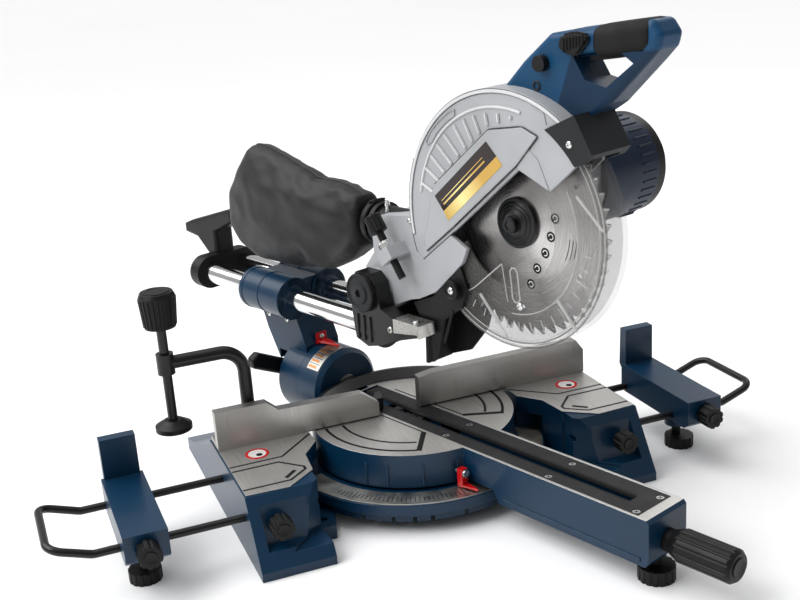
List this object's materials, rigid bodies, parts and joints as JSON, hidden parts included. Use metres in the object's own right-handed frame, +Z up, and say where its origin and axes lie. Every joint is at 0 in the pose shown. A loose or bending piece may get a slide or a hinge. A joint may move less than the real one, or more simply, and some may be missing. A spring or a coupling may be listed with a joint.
{
  "type": "sliding compound mitre saw",
  "caption": "Sliding compound mitre saw with swivelling turntable, tilting arm, twin slide rails, clear blade guard, dust bag, work clamp and pull-out side supports.",
  "frame": {"origin": "on the turntable's axis at floor height, which is the centre of the four bench bolt holes", "axes": "+X along the fence to the operator's right, +Y to the rear, +Z up"},
  "size_m": [0.786, 0.784, 0.5014],
  "materials": {
    "navy_paint": "satin powder coat on cast aluminium",
    "navy_motor": "satin moulded plastic",
    "blue_plastic": "satin moulded plastic",
    "machined_aluminium": "machined, fine lines",
    "cast_silver": "silver painted aluminium casting",
    "black_paint": "satin black",
    "black_plastic": "matte moulded plastic",
    "black_rubber": "matte",
    "chrome": "polished",
    "steel": "zinc plated",
    "blade_steel": "ground, radial lines",
    "scale_plate": "printed plate",
    "red_plastic": "gloss",
    "clear_plastic": "clear polycarbonate",
    "bag_fabric": "woven nylon",
    "bronze": "sintered",
    "copper_windings": "windings and laminations"
  },
  "bodies": {
    "base": {"base_casting": "navy_paint", "fence": "machined_aluminium", "mitre_scale": "scale_plate", "fence_bolts": "steel", "turntable_bolt": "steel"},
    "left_base_lock": {"left_base_knob": "black_plastic"},
    "right_base_lock": {"right_base_knob": "black_plastic"},
    "turntable": {"turntable_casting": "navy_paint", "kerf_plate": "black_plastic", "turntable_screws": "steel", "bevel_scale": "scale_plate", "mitre_pointer": "red_plastic", "bevel_bolt": "steel"},
    "mitre_lock": {"mitre_lock_handle": "black_plastic"},
    "arm_foot_screw": {"arm_foot": "black_plastic"},
    "bevel_arm": {"bevel_arm_casting": "navy_paint", "slide_bushes": "bronze", "bevel_pointer": "red_plastic"},
    "bevel_lock": {"bevel_lock_lever": "black_plastic"},
    "carriage": {"slide_rails": "chrome", "rear_handle": "black_plastic", "carriage_casting": "black_paint", "chop_pin": "black_plastic", "depth_stop_plate": "steel"},
    "head": {"head_arm": "cast_silver", "return_spring": "steel", "upper_guard": "cast_silver", "front_bracket": "black_plastic", "chip_chute": "black_plastic", "dust_port": "black_plastic", "dust_bag": "bag_fabric", "gearbox": "cast_silver", "motor_housing": "navy_motor", "motor_end_cap": "black_plastic", "stator": "copper_windings", "bearings": "steel", "handle_left": "blue_plastic", "handle_right": "blue_plastic", "handle_grip": "black_rubber"},
    "lower_guard": {"lower_guard": "clear_plastic"},
    "blade": {"saw_blade": "blade_steel", "blade_flanges": "black_paint", "spindle": "steel", "driven_gear": "steel"},
    "armature": {"armature": "copper_windings"},
    "trigger": {"trigger": "black_plastic"},
    "lock_button": {"lock_button": "black_plastic"},
    "depth_screw": {"depth_stop_screw": "black_plastic"},
    "left_support": {"left_support_rods": "black_paint", "left_support_block": "navy_paint"},
    "left_support_lock": {"left_support_knob": "black_plastic"},
    "left_support_foot": {"left_support_foot": "black_plastic"},
    "right_support": {"right_support_rods": "black_paint", "right_support_block": "navy_paint"},
    "right_support_lock": {"right_support_knob": "black_plastic"},
    "right_support_foot": {"right_support_foot": "black_plastic"},
    "clamp_arm": {"clamp_post": "black_paint"},
    "clamp_spindle": {"clamp_screw": "black_paint", "clamp_knob": "black_plastic", "clamp_pad": "black_plastic"}
  },
  "joints": [
    {"name": "mitre_turn", "type": "hinge", "parent": "base", "child": "turntable", "pos_m": [0, 0, 0.0723], "axis": [0, 0, -1], "range_deg": [-25, 65]},
    {"name": "mitre_lock_turn", "type": "hinge", "parent": "turntable", "child": "mitre_lock", "pos_m": [0.11971, -0.32889, 0.044], "axis": [0.342, -0.9397, 0], "continuous": true},
    {"name": "arm_foot_turn", "type": "hinge", "parent": "turntable", "child": "arm_foot_screw", "pos_m": [0.11184, -0.30728, 0.01], "axis": [0, 0, 1], "continuous": true},
    {"name": "bevel_tilt", "type": "hinge", "parent": "turntable", "child": "bevel_arm", "pos_m": [-0.04515, 0.12404, 0.0723], "axis": [0.342, -0.9397, 0], "range_deg": [0, 45]},
    {"name": "bevel_lock_turn", "type": "hinge", "parent": "bevel_arm", "child": "bevel_lock", "pos_m": [-0.06704, 0.18418, 0.0723], "axis": [0.342, -0.9397, 0], "range_deg": [0, 50]},
    {"name": "rail_slide", "type": "slide", "parent": "bevel_arm", "child": "carriage", "axis": [-0.342, 0.9397, 0], "range_m": [-0.055, 0.105]},
    {"name": "chop", "type": "hinge", "parent": "carriage", "child": "head", "pos_m": [-0.0041, 0.01128, 0.22], "axis": [0.9397, 0.342, 0], "range_deg": [0, 40], "stiffness_Nm_per_rad": 8, "springref_deg": -126.05},
    {"name": "lower_guard_turn", "type": "hinge", "parent": "head", "child": "lower_guard", "pos_m": [0.05635, -0.16359, 0.3135], "axis": [0.9397, 0.342, 0], "range_deg": [-157, 0]},
    {"name": "blade_spin", "type": "hinge", "parent": "head", "child": "blade", "pos_m": [0.05635, -0.16359, 0.3135], "axis": [0.9397, 0.342, 0], "continuous": true},
    {"name": "armature_spin", "type": "hinge", "parent": "head", "child": "armature", "pos_m": [0.05806, -0.16829, 0.352], "axis": [0.9397, 0.342, 0], "continuous": true},
    {"name": "trigger_pull", "type": "hinge", "parent": "head", "child": "trigger", "pos_m": [0.09533, -0.2356, 0.473], "axis": [-0.9397, -0.342, 0], "range_deg": [0, 6], "stiffness_Nm_per_rad": 0.6, "springref_deg": -8.59},
    {"name": "lock_button_push", "type": "slide", "parent": "head", "child": "lock_button", "axis": [0.9397, 0.342, 0], "range_m": [0, 0.004], "stiffness_N_per_m": 300, "springref_m": -0.003},
    {"name": "depth_screw_turn", "type": "hinge", "parent": "head", "child": "depth_screw", "pos_m": [-0.03668, -0.0191, 0.302], "axis": [-0.2001, 0.5497, 0.8111], "continuous": true},
    {"name": "left_support_slide", "type": "slide", "parent": "base", "child": "left_support", "axis": [-1, 0, 0], "range_m": [-0.028, 0.008]},
    {"name": "left_support_lock_turn", "type": "hinge", "parent": "left_support", "child": "left_support_lock", "pos_m": [-0.317, -0.131, 0.056], "axis": [0, -1, 0], "continuous": true},
    {"name": "left_support_foot_turn", "type": "hinge", "parent": "left_support", "child": "left_support_foot", "pos_m": [-0.317, -0.078, 0.01], "axis": [0, 0, 1], "continuous": true},
    {"name": "right_support_slide", "type": "slide", "parent": "base", "child": "right_support", "axis": [1, 0, 0], "range_m": [0, 0.034]},
    {"name": "right_support_lock_turn", "type": "hinge", "parent": "right_support", "child": "right_support_lock", "pos_m": [0.289, -0.131, 0.056], "axis": [0, -1, 0], "continuous": true},
    {"name": "right_support_foot_turn", "type": "hinge", "parent": "right_support", "child": "right_support_foot", "pos_m": [0.289, -0.078, 0.01], "axis": [0, 0, 1], "continuous": true},
    {"name": "left_base_lock_turn", "type": "hinge", "parent": "base", "child": "left_base_lock", "pos_m": [-0.19, -0.125, 0.045], "axis": [0, -1, 0], "continuous": true},
    {"name": "right_base_lock_turn", "type": "hinge", "parent": "base", "child": "right_base_lock", "pos_m": [0.19, -0.125, 0.045], "axis": [0, -1, 0], "continuous": true},
    {"name": "clamp_swivel", "type": "hinge", "parent": "base", "child": "clamp_arm", "pos_m": [-0.175, 0.027, 0.08], "axis": [0, 0, -1], "range_deg": [-110, 60]},
    {"name": "clamp_travel", "type": "slide", "parent": "clamp_arm", "child": "clamp_spindle", "axis": [0, 0, 1], "range_m": [-0.024, 0.045]}
  ],
  "couplings": [
    {"joint": "lower_guard_turn", "follows": "chop", "ratio": -3.9},
    {"joint": "armature_spin", "follows": "blade_spin", "ratio": -3.7073}
  ]
}
